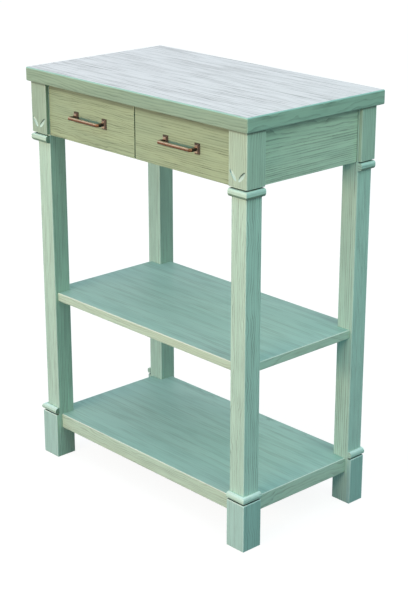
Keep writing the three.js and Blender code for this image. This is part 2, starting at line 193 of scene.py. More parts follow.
class Graph:
    """A node tree, with one method that adds a node and feeds its sockets."""

    FACTOR, COLOUR_A, COLOUR_B, MIXED = 0, 6, 7, 2

    def __init__(self, tree: bpy.types.NodeTree) -> None:
        """Empties a tree and takes it over."""
        self.tree = tree
        self.tree.nodes.clear()

    @classmethod
    def of_material(cls, name: str) -> tuple["Graph", bpy.types.Material]:
        """Makes a new material and its graph.

        Args:
            name: The material's name.

        Returns:
            The graph and the material.
        """
        material = bpy.data.materials.new(name)
        material.use_nodes = True
        return cls(material.node_tree), material

    def add(self, kind: str, settings: Settings = None, sockets: Sockets = None) -> bpy.types.Node:
        """Adds a node.

        Args:
            kind: The node's type.
            settings: Its properties, which are set first.
            sockets: Values or links for its inputs, by name or place.

        Returns:
            The node.
        """
        made = self.tree.nodes.new(kind)
        for key, value in (settings or {}).items():
            setattr(made, key, value)
        for key, value in (sockets or {}).items():
            self.feed(made.inputs[key], value)
        return made

    def node(
        self, kind: str, settings: Settings = None, sockets: Sockets = None, output: int = 0
    ) -> Signal:
        """Adds a node and hands back one of its outputs."""
        return Signal(self, self.add(kind, settings, sockets).outputs[output])

    def feed(self, socket: bpy.types.NodeSocket, value: Value) -> None:
        """Links a signal to a socket, or sets the socket's own value.

        Args:
            socket: The input to feed.
            value: A signal, a number, a vector or a colour.
        """
        if isinstance(value, Signal):
            self.tree.links.new(value.socket, socket)
        elif isinstance(value, Sequence) and socket.type == "RGBA":
            socket.default_value = (*value, 1.0)
        else:
            socket.default_value = value

    def mix(self, share: Value, first: Value, second: Value) -> Signal:
        """Blends two colours: the first at a share of 0, the second at a share of 1."""
        sockets = {self.FACTOR: share, self.COLOUR_A: first, self.COLOUR_B: second}
        return self.node("ShaderNodeMix", {"data_type": "RGBA"}, sockets, self.MIXED)

    def vector(self, x: Value, y: Value, z: Value) -> Signal:
        """Puts three values together into a vector."""
        return self.node("ShaderNodeCombineXYZ", None, {0: x, 1: y, 2: z})

    def axes(self, vector: Signal) -> Signal:
        """Takes a vector apart into X, Y and Z."""
        return self.node("ShaderNodeSeparateXYZ", None, {0: vector})

    def place(self) -> Signal:
        """Where a point lies, in Object coordinates."""
        return self.node("ShaderNodeTexCoord").at("Object")

    def noise(self, place: Signal, detail: float, scale: float = 1.0) -> Signal:
        """Noise between 0 and 1, with so many changes for each unit of the place."""
        sockets = {"Vector": place, "Scale": scale, "Detail": detail}
        return self.node("ShaderNodeTexNoise", None, sockets)

    def attribute(self, name: str) -> Signal:
        """A named attribute of the piece's mesh."""
        return self.node("ShaderNodeAttribute", {"attribute_name": name})

    def bump(self, height: Signal, strength: float, distance: float) -> Signal:
        """The normal of a surface with a small relief."""
        sockets = {"Strength": strength, "Distance": distance, "Height": height}
        return self.node("ShaderNodeBump", None, sockets)

    def surface(self, sockets: Sockets) -> None:
        """Ends the tree in a Principled shader with these inputs."""
        shader = self.node("ShaderNodeBsdfPrincipled", None, sockets)
        self.add("ShaderNodeOutputMaterial", None, {"Surface": shader})


class WoodFigure:
    """The figure of a sawn board: year rings, open pores and slow clouds of tone."""

    WANDER_ALONG, WANDER_ACROSS, WANDER = 2.6, 9.0, 0.020
    RIPPLE_ALONG, RIPPLE_ACROSS, RIPPLE = 24.0, 60.0, 0.0075
    RIPPLE_RINGS, RIPPLE_SHIFT = 1.6, 7.0
    FADE_ALONG, FADE_ACROSS, FADE_SHIFT, FADE_DEPTH = 17.0, 90.0, 3.0, 0.75
    RING_FALL = 2.2
    PORE_ALONG, PORE_ACROSS = 95.0, 1500.0
    PORE_LOW, PORE_HIGH, PORE_IN_SPRING = 0.54, 0.72, 0.8
    CLOUD_ALONG, CLOUD_ACROSS, STREAK_ALONG = 3.2, 26.0, 7.0
    TONE_LOW, TONE_HIGH = 0.28, 0.72
    FINE, COARSE = 2.0, 1.0
    SEED_STRIDE = 41.0

    def __init__(
        self, graph: Graph, grain: Grain, ring_spacing: float, streak_width: float
    ) -> None:
        """Works the figure out.

        Args:
            graph: The graph that gets the nodes.
            grain: How the board was cut.
            ring_spacing: Width of a year ring.
            streak_width: Width of the streaks of tone.
        """
        self.graph = graph
        self.axes = graph.axes(graph.place())
        self.along, self.wide, self.deep = (self.axes.at("XYZ"[axis]) for axis in grain.value)
        stave = graph.axes(graph.attribute(STAVE).at("Vector"))
        self.seed = stave.at("X") * self.SEED_STRIDE
        wander = self._drift(self.WANDER_ALONG, self.WANDER_ACROSS, 0.0)
        ripple = self._drift(self.RIPPLE_ALONG, self.RIPPLE_ACROSS, self.RIPPLE_SHIFT)
        offset = wander * self.WANDER + ripple * min(self.RIPPLE, self.RIPPLE_RINGS * ring_spacing)
        across = self.wide - stave.at("Y") + offset
        through = self.deep - stave.at("Z") + offset
        ring = ((across * across + through * through).maths("SQRT") / ring_spacing).maths("FRACT")
        fade = self._slow(self.FADE_ALONG, self.FADE_ACROSS, self.FADE_SHIFT)
        fade = fade * self.FADE_DEPTH + (1.0 - self.FADE_DEPTH)
        self.spring = (1.0 - ring) ** self.RING_FALL * fade
        pore_place = graph.vector(
            self.along * self.PORE_ALONG, self.wide * self.PORE_ACROSS, self.deep * self.PORE_ACROSS
        )
        pore = graph.noise(pore_place, self.COARSE).rise(self.PORE_LOW, self.PORE_HIGH)
        self.pore = pore * (self.spring * self.PORE_IN_SPRING + (1.0 - self.PORE_IN_SPRING))
        self.cloud = self._slow(self.CLOUD_ALONG, self.CLOUD_ACROSS, 0.0)
        self.streak = self._slow(self.STREAK_ALONG, 1.0 / streak_width, 0.0)

    def _drift(self, rate: float, across: float, shift: float) -> Signal:
        """A slow sideways drift of the rings, from -0.5 to 0.5."""
        place = self.graph.vector(self.along * rate, self.wide * across, self.seed + shift)
        return self.graph.noise(place, self.COARSE) - 0.5

    def _slow(self, rate: float, across: float, shift: float) -> Signal:
        """Tone that is drawn out along the fibres.

        Args:
            rate: Changes for each metre along the fibres.
            across: Changes for each metre across them.
            shift: Sets this tone apart from the others.

        Returns:
            A tone from 0 to 1.
        """
        seed = self.seed + shift
        place = self.graph.vector(
            self.along * rate + seed, self.wide * across, self.deep * across + seed
        )
        return self.graph.noise(place, self.FINE).rise(self.TONE_LOW, self.TONE_HIGH)


@dataclass(frozen=True)
class Seam:
    """Painted shade beside a joint or under an overhang: how far from the joint it starts and where
    it is darkest.
    """

    axis: str
    joint: float
    pale: float
    dark: float
    depth: float

    def share(self, axes: Signal) -> Signal:
        """How much of the painted shade shows."""
        return axes.at(self.axis).rise(self.joint + self.pale, self.joint + self.dark) * self.depth


@dataclass(frozen=True)
class Finish:
    """A finish, made into a material once for each cut of the wood under it."""

    name: str

    def title(self, grain: Grain) -> str:
        """The name of its material on boards cut one way."""
        return f"{self.name}_{grain.word}"

    def material(self, grain: Grain) -> bpy.types.Material:
        """The finish on boards cut one way.

        Args:
            grain: How the board was cut.

        Returns:
            The material, made when it is first asked for.
        """
        title = self.title(grain)
        if title not in bpy.data.materials:
            self.paint(Graph.of_material(title)[0], grain)
        return bpy.data.materials[title]

    def paint(self, graph: Graph, grain: Grain) -> None:
        """Builds the material's nodes, in each kind of finish its own way."""
        raise NotImplementedError


@dataclass(frozen=True)
class WoodFinish(Finish):
    """A wood under stain or oil: its colours, and how strongly the figure shows."""

    tone: Colour
    bloom: Colour
    # Marked faces take the arris colour: wear and painted highlight.
    arris: Colour
    contrast: float = 1.0
    ring_spacing: float = 0.0042
    ring_depth: float = 0.85
    pore_depth: float = 0.45
    streak_width: float = 0.004
    streak_depth: float = 0.35
    bloom_depth: float = 0.45
    arris_depth: float = 0.55
    roughness: float = 0.46
    specular: float = 0.22
    coat: float = 0.0
    coat_roughness: float = 0.22
    relief: float = 0.0005
    # Painted shade lines along joints, and their colour.
    seams: tuple[Seam, ...] = ()
    dirt: Colour = (0.055, 0.065, 0.045)

    PALE, DARK = 0.22, -0.50
    RING_RELIEF, RELIEF_STRENGTH, ROUGHER = 0.35, 0.35, 0.16

    def shade(self, share: float) -> Colour:
        """The tone made lighter or darker by a share of the contrast."""
        return tuple(part * (1.0 + share * self.contrast) for part in self.tone)

    def paint(self, graph: Graph, grain: Grain) -> None:
        """Builds the stain over the wood's figure.

        Args:
            graph: The material's graph.
            grain: How the board was cut.
        """
        figure = WoodFigure(graph, grain, self.ring_spacing, self.streak_width)
        taken = figure.spring * self.ring_depth + figure.pore * self.pore_depth
        taken = (taken + (figure.streak - 0.5) * self.streak_depth).clamped()
        colour = graph.mix(taken, self.shade(self.PALE), self.shade(self.DARK))
        colour = graph.mix(figure.cloud * self.bloom_depth, colour, self.bloom)
        # Marked faces take the arris colour, for wear and painted highlight.
        wear_and_highlight = graph.attribute(ARRIS).at("Fac") * self.arris_depth
        colour = graph.mix(wear_and_highlight, colour, self.arris)
        # Painted shade along joints and under the top's overhang.
        for shade_line in self.seams:
            colour = graph.mix(shade_line.share(figure.axes), colour, self.dirt)
        height = 1.0 - (figure.spring * self.RING_RELIEF + figure.pore).clamped()
        graph.surface({
            "Base Color": colour,
            "Roughness": taken * self.ROUGHER + self.roughness,
            "Normal": graph.bump(height, self.RELIEF_STRENGTH, self.relief),
            "Specular IOR Level": self.specular,
            "Coat Weight": self.coat,
            "Coat Roughness": self.coat_roughness,
        })


@dataclass(frozen=True)
class PlyFinish(Finish):
    """Thin plywood: rotary-cut face veneer, with its plies showing on the edges."""

    face: Colour
    figure: Colour
    ply_pale: Colour
    ply_dark: Colour
    ply_thickness: float = 0.00125
    figure_spacing: float = 0.019
    streak_width: float = 0.003
    roughness: float = 0.62

    RING_SHARE, STREAK_SHARE, ROUGHER = 0.6, 0.3, 0.1
    PLY_LOW, PLY_HIGH = 0.45, 0.55
    LEVEL_LOW, LEVEL_HIGH = 0.4, 0.6
    RELIEF_STRENGTH, RELIEF = 0.25, 0.0003

    def paint(self, graph: Graph, grain: Grain) -> None:
        """Builds the veneer, and the plies where a face isn't level.

        Args:
            graph: The material's graph.
            grain: How the sheet was cut.
        """
        figure = WoodFigure(graph, grain, self.figure_spacing, self.streak_width)
        share = (figure.spring * self.RING_SHARE + figure.streak * self.STREAK_SHARE).clamped()
        veneer = graph.mix(share, self.face, self.figure)
        ply = (figure.axes.at("Z") / (2.0 * self.ply_thickness)).maths("FRACT")
        edge = graph.mix(ply.rise(self.PLY_LOW, self.PLY_HIGH), self.ply_pale, self.ply_dark)
        normal = graph.axes(graph.node("ShaderNodeNewGeometry").at("Normal"))
        level = normal.at("Z").maths("ABSOLUTE").rise(self.LEVEL_LOW, self.LEVEL_HIGH)
        graph.surface({
            "Base Color": graph.mix(level, edge, veneer),
            "Roughness": figure.streak * self.ROUGHER + self.roughness,
            "Normal": graph.bump(1.0 - figure.pore, self.RELIEF_STRENGTH, self.RELIEF),
        })


@dataclass(frozen=True)
class MetalFinish(Finish):
    """A plated metal under dark tarnish, with painted light and shade that meet at some height, and
    wear and painted highlight on marked faces.
    """

    patina: Colour
    metal: Colour
    rubbed: Colour
    polish_from: float = 0.0
    polish_to: float = 0.001
    patina_scale: float = 260.0
    grain_scale: float = 2200.0
    rubbed_depth: float = 0.8
    roughness: float = 0.34
    patina_metallic: float = 0.85

    BLOTCH_DETAIL, BLOTCH_LOW, BLOTCH_HIGH = 4.0, 0.32, 0.68
    BLOTCH_IN_METAL, BLOTCH_IN_RUBBED = 0.7, 0.4
    SPECK_DETAIL, SPECK_ROUGHER, PATINA_ROUGHER = 2.0, 0.2, 0.1
    RELIEF_STRENGTH, RELIEF = 0.12, 0.0002

    def title(self, grain: Grain) -> str:
        """One material serves whichever way a piece lies."""
        return f"{self.name}_finish"

    def paint(self, graph: Graph, grain: Grain) -> None:
        """Builds the tarnish and the bright metal, split by height as painted light and shade.

        Args:
            graph: The material's graph.
            grain: Which way the piece lies, which changes nothing on a metal.
        """
        place = graph.place()
        blotch = graph.noise(place, self.BLOTCH_DETAIL, self.patina_scale)
        blotch = blotch.rise(self.BLOTCH_LOW, self.BLOTCH_HIGH)
        speck = graph.noise(place, self.SPECK_DETAIL, self.grain_scale)
        # Painted light and shade: the metal shows on one side of a height and the tarnish on the
        # other.
        polish = graph.axes(place).at("Z").rise(self.polish_from, self.polish_to)
        bright = polish * (blotch * self.BLOTCH_IN_METAL + (1.0 - self.BLOTCH_IN_METAL))
        colour = graph.mix(bright, self.patina, self.metal)
        # Marked faces get wear and a painted highlight, where the painted light lets them.
        wear_and_highlight = blotch * self.BLOTCH_IN_RUBBED + (1.0 - self.BLOTCH_IN_RUBBED)
        wear_and_highlight = graph.attribute(ARRIS).at("Fac") * wear_and_highlight * polish * self.rubbed_depth
        rough = (speck - 0.5) * self.SPECK_ROUGHER + (1.0 - wear_and_highlight) * self.PATINA_ROUGHER
        graph.surface({
            "Base Color": graph.mix(wear_and_highlight, colour, self.rubbed),
            "Metallic": wear_and_highlight * (1.0 - self.patina_metallic) + self.patina_metallic,
            "Roughness": rough + self.roughness,
            "Normal": graph.bump(speck, self.RELIEF_STRENGTH, self.RELIEF),
        })


UNDER_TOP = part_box("top_panel")[0].z
FRONT_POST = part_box("post_front_right")[1].y
BACK_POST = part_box("post_back_right")[0].y
# Painted shade: a line under the top, a broader painted shadow of its overhang on the drawer
# fronts, and lines beside the posts on the aprons.
TOP_SHADE_LINE = Seam("Z", UNDER_TOP, pale=-0.007, dark=-0.001, depth=0.75)
OVERHANG_SHADOW = Seam("Z", UNDER_TOP, pale=-0.017, dark=-0.009, depth=0.5)
APRON_SHADE_LINES = (
    TOP_SHADE_LINE,
    Seam("Y", FRONT_POST, pale=0.0035, dark=0.0, depth=0.6),
    Seam("Y", BACK_POST, pale=-0.0035, dark=0.0, depth=0.85),
)
# Heights where the painted light on the pulls changes.
PULL_LOW, PULL_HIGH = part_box("pull_handle_right")
PULL_MIDDLE = (PULL_LOW.z + PULL_HIGH.z) / 2
PULL_SHADE, PULL_LIGHT = 0.0025, 0.0015
PLATE_LOW, PLATE_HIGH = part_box("pull_plate_outer_right")
PLATE_MIDDLE = (PLATE_LOW.z + PLATE_HIGH.z) / 2

POST_STAIN = WoodFinish(
    "post_stain", tone=(0.47, 0.66, 0.585), bloom=(0.45, 0.67, 0.60), arris=(0.64, 0.87, 0.83),
    contrast=1.05,
)
# A darker copy of the post stain: painted shade on faces that look inwards.
INNER_SHADE = replace(
    POST_STAIN, name="inner_stain", tone=(0.385, 0.570, 0.470), bloom=(0.360, 0.575, 0.485)
)
# The foot bead's stain, with a near-white painted highlight on its upper rounding.
BEAD_HIGHLIGHT_STAIN = replace(POST_STAIN, name="bead_stain", arris=(0.80, 1.00, 1.00), arris_depth=1.0)
FOOT_STAIN = WoodFinish(
    "foot_stain", tone=(0.445, 0.67, 0.645), bloom=(0.43, 0.66, 0.63), arris=(0.80, 1.00, 0.97),
    contrast=0.6, arris_depth=0.9,
)
# A darker copy of the foot stain: painted shade on the foot block's outer side.
FOOT_SIDE_SHADE = replace(
    FOOT_STAIN, name="foot_side_stain", tone=(0.345, 0.560, 0.515), bloom=(0.335, 0.550, 0.505)
)
# Head blocks: stain and painted shade, darker than the posts under the top, the left ones darker
# again.
HEAD_STAIN_AND_SHADE = WoodFinish(
    "head_stain", tone=(0.43, 0.57, 0.475), bloom=(0.42, 0.59, 0.50), arris=(0.60, 0.78, 0.70),
    contrast=0.9, seams=(TOP_SHADE_LINE,),
)
LEFT_HEAD_STAIN_AND_SHADE = replace(
    HEAD_STAIN_AND_SHADE, name="left_head_stain", tone=(0.345, 0.475, 0.390), bloom=(0.335, 0.485, 0.405)
)
APRON_STAIN = WoodFinish(
    "apron_stain", tone=(0.50, 0.61, 0.49), bloom=(0.47, 0.63, 0.52), arris=(0.62, 0.76, 0.64),
    contrast=1.65, ring_spacing=0.0034, seams=APRON_SHADE_LINES,
)
RAIL_STAIN = replace(APRON_STAIN, name="rail_stain", seams=())
DRAWER_STAIN = WoodFinish(
    "drawer_stain", tone=(0.305, 0.385, 0.26), bloom=(0.31, 0.425, 0.315), arris=(0.48, 0.56, 0.42),
    contrast=1.75, ring_spacing=0.0040, ring_depth=0.7, seams=(OVERHANG_SHADOW,),
)
DRAWER_EDGE_STAIN = replace(DRAWER_STAIN, name="drawer_edge_stain", seams=())
SHELF_STAIN = WoodFinish(
    "shelf_stain", tone=(0.405, 0.630, 0.582), bloom=(0.345, 0.59, 0.555), arris=(0.66, 0.78, 0.70),
    contrast=0.5, ring_spacing=0.007, ring_depth=0.6, streak_width=0.012, streak_depth=0.7,
)
SHELF_EDGE_STAIN = WoodFinish(
    "shelf_edge_stain", tone=(0.51, 0.67, 0.57), bloom=(0.54, 0.65, 0.51), arris=(0.88, 0.97, 0.92),
    contrast=0.8, ring_spacing=0.0020, arris_depth=0.8,
)
EDGE_STAIN = WoodFinish(
    "edge_stain", tone=(0.275, 0.395, 0.31), bloom=(0.25, 0.40, 0.34), arris=(0.42, 0.76, 0.72),
    contrast=0.8, ring_spacing=0.0020,
)
END_STAIN = replace(
    EDGE_STAIN, name="end_stain", tone=(0.34, 0.49, 0.40), bloom=(0.30, 0.49, 0.42), contrast=0.85
)
# The top's pale colour is a painted sky reflection, under a thin coat.
TOP_SKY_REFLECTION = WoodFinish(
    "top_wash", tone=(0.757, 0.712, 0.752), bloom=(0.79, 0.75, 0.79), arris=(0.80, 0.90, 0.90),
    ring_spacing=0.0095, streak_width=0.006, streak_depth=0.8, bloom_depth=0.25, roughness=0.38,
    specular=0.5, coat=0.2,
)
# The cuts' lacquer, paler than the stain round them: lacquer and a painted highlight.
CUT_LACQUER_AND_HIGHLIGHT = WoodFinish(
    "cut_lacquer", tone=(0.47, 0.71, 0.68), bloom=(0.46, 0.72, 0.70), arris=(0.70, 0.84, 0.80),
    contrast=0.3, roughness=0.3, specular=0.4, coat=0.45, coat_roughness=0.12,
)
# Painted shade in the grooves beside the beads and on the shaded walls of the cuts, and a lighter
# painted shade in recesses and under the collars.
DEEP_SHADE = WoodFinish(
    "quirk_stain", tone=(0.085, 0.130, 0.115), bloom=(0.080, 0.130, 0.115),
    arris=(0.30, 0.42, 0.38), contrast=0.5,
)
RECESS_SHADE = replace(
    DEEP_SHADE, name="recess_stain", tone=(0.190, 0.300, 0.235), bloom=(0.180, 0.300, 0.240)
)
BARE_WOOD = WoodFinish(
    "bare_wood", tone=(0.60, 0.45, 0.28), bloom=(0.62, 0.46, 0.28), arris=(0.70, 0.56, 0.38),
    arris_depth=0.3, roughness=0.56,
)
PLYWOOD = PlyFinish(
    "plywood", face=(0.63, 0.46, 0.28), figure=(0.48, 0.32, 0.17), ply_pale=(0.60, 0.45, 0.28),
    ply_dark=(0.34, 0.22, 0.12),
)
# The handle: painted light above its middle, painted shade below, and a painted highlight on marked
# faces.
AGED_COPPER = MetalFinish(
    "aged_copper", patina=(0.085, 0.045, 0.025), metal=(0.33, 0.160, 0.083),
    rubbed=(0.82, 0.66, 0.52), rubbed_depth=1.0,
    polish_from=PULL_MIDDLE - PULL_SHADE, polish_to=PULL_MIDDLE + PULL_LIGHT,
)
# The plates' fronts: a grey painted sky reflection at the top, the metal lower down.
PLATE_COPPER = MetalFinish(
    "plate_copper", patina=(0.32, 0.265, 0.230), metal=(0.56, 0.375, 0.215),
    rubbed=(0.50, 0.40, 0.33), rubbed_depth=0.2, polish_from=PLATE_HIGH.z, polish_to=PLATE_MIDDLE,
)
# Painted shade on the plates' bevels.
PLATE_BEVEL_SHADE = MetalFinish(
    "plate_bevel", patina=(0.040, 0.032, 0.028), metal=(0.115, 0.082, 0.060),
    rubbed=(0.30, 0.22, 0.17), rubbed_depth=0.2,
)
# Painted shade on the handle's necks and on what looks down.
PAINTED_SHADE_COPPER = MetalFinish(
    "dark_copper", patina=(0.012, 0.011, 0.011), metal=(0.050, 0.034, 0.028),
    rubbed=(0.40, 0.25, 0.19), patina_metallic=0.7,
)
ZINC_STEEL = MetalFinish(
    "zinc_steel", patina=(0.46, 0.47, 0.48), metal=(0.60, 0.61, 0.62), rubbed=(0.72, 0.72, 0.73),
    rubbed_depth=0.4, roughness=0.28, patina_metallic=1.0,
)


@dataclass(frozen=True)
class Skin:
    """A finish on some of a piece's faces, and how the board under it was cut."""

    finish: Finish
    grain: Grain

    def material(self) -> bpy.types.Material:
        """The skin's material."""
        return self.finish.material(self.grain)


def square_arris(edge: Edge) -> bool:
    """Whether an edge is an outer corner of about a right angle."""
    return len(edge.link_faces) == 2 and SQUARE_LOW < edge.calc_face_angle_signed(0.0) < SQUARE_HIGH


def long_arris(length: float) -> EdgeTest:
    """A test for outer corners that are at least so long."""
    return lambda edge: square_arris(edge) and edge.calc_length() >= length


def lies_at(edge: Edge, axis: int, place: float) -> bool:
    """Whether the whole of an edge lies at one place on an axis."""
    return all(abs(vert.co[axis] - place) < MERGE_DISTANCE for vert in edge.verts)


def upper_arris(slope: float) -> MarkRule:
    """A rule that marks the rounded faces that look up by more than a slope, for a painted
    highlight.
    """
    return lambda face, _mark: float(slope < face.normal.z < FLAT)


def edge_skin(face: Face) -> int:
    """A board's second skin is for its front and back edges, and its third for its ends."""
    return 1 if abs(face.normal.y) >= abs(face.normal.x) else 2


def one_skin(_face: Face) -> int:
    """Puts every face in the first skin."""
    return 0


def placed(name: str, data: bpy.types.ID) -> Piece:
    """Adds an object to the scene.

    Args:
        name: The object's name.
        data: Its mesh, light or camera.

    Returns:
        The object.
    """
    made = bpy.data.objects.new(name, data)
    bpy.context.scene.collection.objects.link(made)
    return made


class Blank:
    """A closed shape in the making, in the row frame, in metres."""

    def __init__(self) -> None:
        """Starts with nothing."""
        self.mesh = bmesh.new()

    @classmethod
    def prism(cls, plan: Plan, low: float, high: float) -> "Blank":
        """A plan drawn in X and Y, raised from one height to another.

        Args:
            plan: The corners of the plan.
            low: Height of the foot.
            high: Height of the top.

        Returns:
            The raised shape.
        """
        blank = cls()
        foot = blank.mesh.faces.new([blank.mesh.verts.new((x, y, low)) for x, y in plan])
        raised = bmesh.ops.extrude_face_region(blank.mesh, geom=[foot])["geom"]
        top = [item for item in raised if isinstance(item, bmesh.types.BMVert)]
        bmesh.ops.translate(blank.mesh, verts=top, vec=(0.0, 0.0, high - low))
        bmesh.ops.recalc_face_normals(blank.mesh, faces=blank.mesh.faces[:])
        return blank

    @classmethod
    def of_node(cls, node: str) -> "Blank":
        """A merged copy of a node's shape, with its flat faces whole.

        Args:
            node: The node.

        Returns:
            The copy.
        """
        blank = cls()
        blank.mesh.from_mesh(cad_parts[node].data)
        bmesh.ops.remove_doubles(blank.mesh, verts=blank.mesh.verts[:], dist=MERGE_DISTANCE)
        edges, verts = blank.mesh.edges[:], blank.mesh.verts[:]
        bmesh.ops.dissolve_limit(blank.mesh, angle_limit=FLAT_ANGLE, edges=edges, verts=verts)
        blank.mesh.normal_update()
        return blank

    @classmethod
    def board(cls, node: str, radius: float, long_edge: float) -> "Blank":
        """A node's shape with its long arrises eased."""
        return cls.of_node(node).ease(radius, where=long_arris(long_edge))

    def arris(self) -> bmesh.types.BMLayerItem:
        """The face layer that marks eased arrises for wear and painted highlight, made where it is
        missing.
        """
        layers = self.mesh.faces.layers.float
        return layers.get(ARRIS) or layers.new(ARRIS)

    def ease(
        self,
        radius: float,
        segments: int = ARRIS_SEGMENTS,
        where: EdgeTest = square_arris,
        wear_and_highlight: float = 1.0,
    ) -> "Blank":
        """Rounds arrises over.

        Args:
            radius: Radius of the rounding.
            segments: Facets across it.
            where: Which edges are rounded.
            wear_and_highlight: The mark that its faces get, for wear and painted highlight.

        Returns:
            The same blank.
        """
        mark = self.arris()
        self.mesh.normal_update()
        edges = [edge for edge in self.mesh.edges if where(edge)]
        made = bmesh.ops.bevel(
            self.mesh, geom=edges, offset=radius, offset_type="OFFSET", segments=segments,
            profile=0.5, affect="EDGES", clamp_overlap=True, material=-1,
        )
        for face in made["faces"]:
            face[mark] = wear_and_highlight
        return self

    def mark(self, rule: MarkRule) -> "Blank":
        """Marks faces anew.

        Args:
            rule: Gives a face's mark from the face and the mark that it has.

        Returns:
            The same blank.
        """
        layer = self.arris()
        self.mesh.normal_update()
        for face in self.mesh.faces:
            face[layer] = rule(face, face[layer])
        return self

    def carve(self, cutter: "Blank") -> "Blank":
        """Cuts another shape out of this one.

        Args:
            cutter: The shape to take away.

        Returns:
            The same blank.
        """
        body, tool = self.placed("carved_body"), cutter.placed("carving_tool")
        modifier = body.modifiers.new("carve", "BOOLEAN")
        modifier.operation = "DIFFERENCE"
        modifier.solver = "EXACT"
        modifier.object = tool
        scene = bpy.context.evaluated_depsgraph_get()
        carved = bpy.data.meshes.new_from_object(body.evaluated_get(scene))
        self.mesh = bmesh.new()
        self.mesh.from_mesh(carved)
        for helper in (body, tool):
            bpy.data.objects.remove(helper)
        return self

    def placed(self, name: str) -> Piece:
        """Adds this blank to the scene as an object.

        Args:
            name: The object's name.

        Returns:
            The object.
        """
        data = bpy.data.meshes.new(name)
        self.mesh.to_mesh(data)
        self.mesh.free()
        return placed(name, data)

    def box_of(self) -> tuple[Vector, Vector]:
        """The blank's lowest and highest corners."""
        axes = list(zip(*(vert.co for vert in self.mesh.verts)))
        return Vector(map(min, axes)), Vector(map(max, axes))

    def stain(self, name: str, skins: Sequence[Skin], pick: SkinPick) -> None:
        """Gives each face its skin, and its stave's seed and heart line.

        Args:
            name: The piece's name, which sets the staves' seeds.
            skins: The piece's skins.
            pick: Which skin a face has.
        """
        stave = self.mesh.faces.layers.float_vector.new(STAVE)
        self.arris()  # Every finish reads this layer, so a piece with no eased arris has it too.
        low, high = self.box_of()
        staves = [
            Stave.of(f"{name}{index}", skin.grain, low, high) for index, skin in enumerate(skins)
        ]
        for face in self.mesh.faces:
            face.material_index = pick(face)
            face[stave] = staves[face.material_index]
            face.smooth = True

    def settle(
        self, node: str, body: str, slot: Slot, skins: Sequence[Skin], pick: SkinPick = one_skin
    ) -> Piece:
        """Turns the blank into the finished piece that stands for a node.

        Args:
            node: The node that it stands for.
            body: The body that it rides on.
            slot: Not used.
            skins: Its skins.
            pick: Which skin a face has.

        Returns:
            The piece.
        """
        name = f"{node}_finished"
        self.stain(name, skins, pick)
        piece = self.placed(name)
        data = piece.data
        if "custom_normal" in data.attributes:
            data.attributes.remove(data.attributes["custom_normal"])
        for skin in skins:
            data.materials.append(skin.material())
        data.set_sharp_from_angle(angle=SMOOTH_ANGLE)
        weighted = piece.modifiers.new("flat_faces", "WEIGHTED_NORMAL")
        weighted.keep_sharp = True
        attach(piece, body)
        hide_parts(node)
        return piece


class Stave:
    """Where a board lay in its log."""

    HEART_DEPTH = 0.060
    HEART_NEAR, HEART_FAR = 0.45, 0.95
    POST_WIDTH, POST_OFFSET = 0.060, 0.048
    SEED_RANGE = 2.0**32

    @classmethod
    def of(cls, name: str, grain: Grain, low: Vector, high: Vector) -> Vector:
        """A board's seed and heart line.

        Args:
            name: The board's name.
            grain: How the board was cut.
            low: Its lowest corner.
            high: Its highest corner.

        Returns:
            The seed, and the heart's place across and through the board.
        """
        seed = zlib.crc32(name.encode()) / cls.SEED_RANGE
        turn = zlib.crc32(name[::-1].encode()) / cls.SEED_RANGE
        _, wide, deep = grain.value
        width = high[wide] - low[wide]
        centre = (low + high) / 2
        shift = width * (cls.HEART_NEAR + (cls.HEART_FAR - cls.HEART_NEAR) * turn)
        if width < cls.POST_WIDTH:
            shift = cls.POST_OFFSET
        shift = math.copysign(shift, seed - 0.5)
        return Vector((seed, centre[wide] + shift, centre[deep] - cls.HEART_DEPTH))


@dataclass
class TopBoard:
    """The thick top, pale above with a painted sky reflection, and stained green on its edges and
    underside.
    """

    node: str = "top_panel"
    edge_radius: float = 0.003
    edge_segments: int = 6
    rubbed_slope: float = 0.3
    skins: tuple[Skin, ...] = (
        Skin(TOP_SKY_REFLECTION, Grain.LEVEL),
        Skin(EDGE_STAIN, Grain.FRONT),
        Skin(END_STAIN, Grain.SIDE),
    )

    def build(self) -> Pieces:
        """Makes the board."""
        low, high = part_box(self.node)
        place = Matrix.Translation((low + high) / 2) @ Matrix.Diagonal((*(high - low), 1.0))
        blank = Blank()
        bmesh.ops.create_cube(blank.mesh, size=1.0, matrix=place)
        # The top's upper arrises get a painted highlight.
        blank.ease(self.edge_radius, self.edge_segments).mark(upper_arris(self.rubbed_slope))
        yield blank.settle(self.node, "root", Slot.TOP, self.skins, self.washed)

    @staticmethod
    def washed(face: Face) -> int:
        """The upper face has the painted sky reflection, and the rest is stained."""
        return 0 if face.normal.z > FLAT else edge_skin(face)


@dataclass
class Shelves:
    """The two shelves, notched round the posts."""

    nodes: tuple[str, ...] = ("shelf_middle", "shelf_lower")
    rubbed_slope: float = math.sin(FLAT_ANGLE)
    skins: tuple[Skin, ...] = (
        Skin(SHELF_STAIN, Grain.LEVEL),
        Skin(SHELF_EDGE_STAIN, Grain.FRONT),
        Skin(SHELF_EDGE_STAIN, Grain.SIDE),
    )

    def build(self) -> Pieces:
        """Makes both shelves."""
        for node in self.nodes:
            # The shelves' upper arrises get a painted highlight.
            blank = Blank.of_node(node).mark(upper_arris(self.rubbed_slope))
            yield blank.settle(node, "root", Slot.GREEN, self.skins, self.level)

    @staticmethod
    def level(face: Face) -> int:
        """Level faces have the first skin, and edges the others."""
        return 0 if abs(face.normal.z) > FLAT else edge_skin(face)


